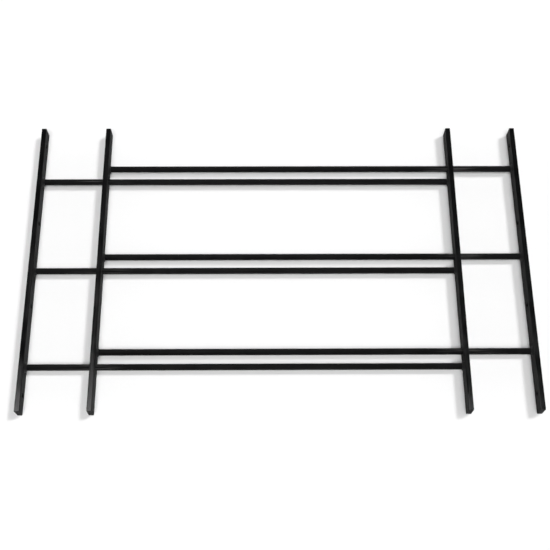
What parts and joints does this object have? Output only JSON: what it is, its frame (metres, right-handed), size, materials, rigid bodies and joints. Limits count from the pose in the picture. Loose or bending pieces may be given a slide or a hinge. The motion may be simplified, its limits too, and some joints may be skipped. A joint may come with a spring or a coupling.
{
  "type": "telescoping window security bar",
  "caption": "Flat window guard of two welded grilles, round rods between flat-bar uprights, that slide through each other to fit the width of a window.",
  "frame": {"origin": "bottom centre of the box around the whole guard, lying flat on its back at the width it is set to", "axes": "+X along the rods to the viewer's right, +Y along the uprights towards the top of the window, +Z out of the window plane, from the glass side to the room side"},
  "size_m": [0.6318, 0.3874, 0.0191],
  "materials": {
    "upright_enamel": "satin black baked enamel on hot-rolled flat bar",
    "rod_enamel": "semi-gloss black baked enamel on round bar, rubbed where the rods slide",
    "weld_enamel": "black baked enamel over fillet welds"
  },
  "bodies": {
    "left_section": {"upright_outer_left": "upright_enamel", "upright_inner_right": "upright_enamel", "rod_left_section_top": "rod_enamel", "rod_left_section_middle": "rod_enamel", "rod_left_section_bottom": "rod_enamel", "weld_outer_left_top": "weld_enamel", "weld_outer_left_middle": "weld_enamel", "weld_outer_left_bottom": "weld_enamel", "weld_inner_right_top": "weld_enamel", "weld_inner_right_middle": "weld_enamel", "weld_inner_right_bottom": "weld_enamel"},
    "right_section": {"upright_outer_right": "upright_enamel", "upright_inner_left": "upright_enamel", "rod_right_section_top": "rod_enamel", "rod_right_section_middle": "rod_enamel", "rod_right_section_bottom": "rod_enamel", "weld_inner_left_top": "weld_enamel", "weld_inner_left_middle": "weld_enamel", "weld_inner_left_bottom": "weld_enamel", "weld_outer_right_top": "weld_enamel", "weld_outer_right_middle": "weld_enamel", "weld_outer_right_bottom": "weld_enamel"}
  },
  "joints": [
    {"name": "width_slide", "type": "slide", "parent": "left_section", "child": "right_section", "axis": [1, 0, 0], "range_m": [-0.0762, 0.4445]}
  ]
}
